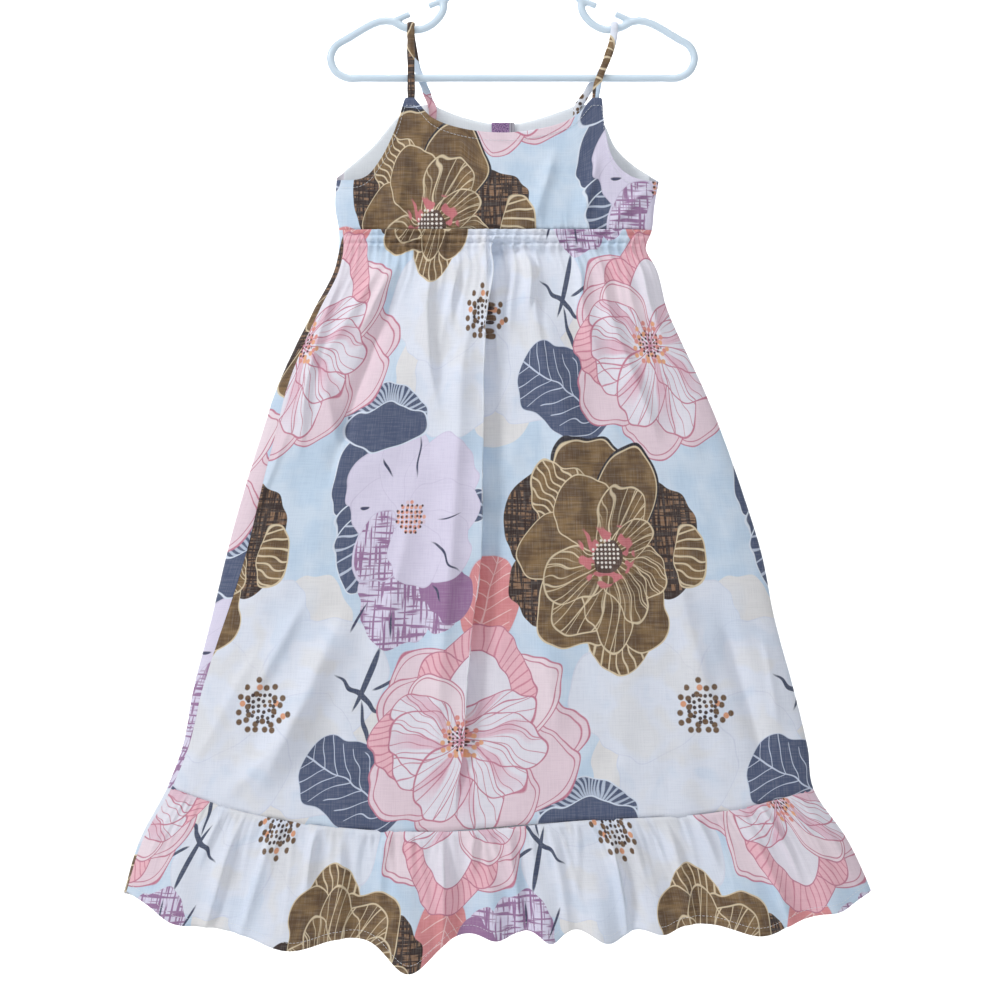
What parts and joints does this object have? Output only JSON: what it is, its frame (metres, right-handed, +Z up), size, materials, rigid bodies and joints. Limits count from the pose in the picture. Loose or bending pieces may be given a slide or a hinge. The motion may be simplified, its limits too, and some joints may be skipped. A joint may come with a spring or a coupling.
{
  "type": "sundress on hanger",
  "caption": "Girl's strappy cotton sundress with a shirred waist, A-line skirt and gathered hem ruffle, hung by its straps on a tubular child's hanger.",
  "frame": {"origin": "the hanging point: the top of the hook's inside, where a rod or peg carries the hanger", "axes": "+Z up along the dress, +X to the right as seen from the front, front faces -Y"},
  "size_m": [0.6317, 0.0937, 0.9052],
  "materials": {
    "printed_cotton": "matt slubby plain-weave cotton, large floral print on pale blue",
    "facing_cotton": "matt plain pale cotton",
    "woven_label": "satin woven label, mottled purple, no lettering",
    "hanger_plastic": "glossy moulded plastic, white with a blue cast"
  },
  "bodies": {
    "root": {"bodice_front": "printed_cotton", "bodice_back": "printed_cotton", "back_facing": "facing_cotton", "skirt_front": "printed_cotton", "skirt_back": "printed_cotton", "ruffle_front": "printed_cotton", "ruffle_back": "printed_cotton", "strap_left": "printed_cotton", "strap_right": "printed_cotton", "neck_label": "woven_label", "hanger": "hanger_plastic"}
  },
  "joints": []
}
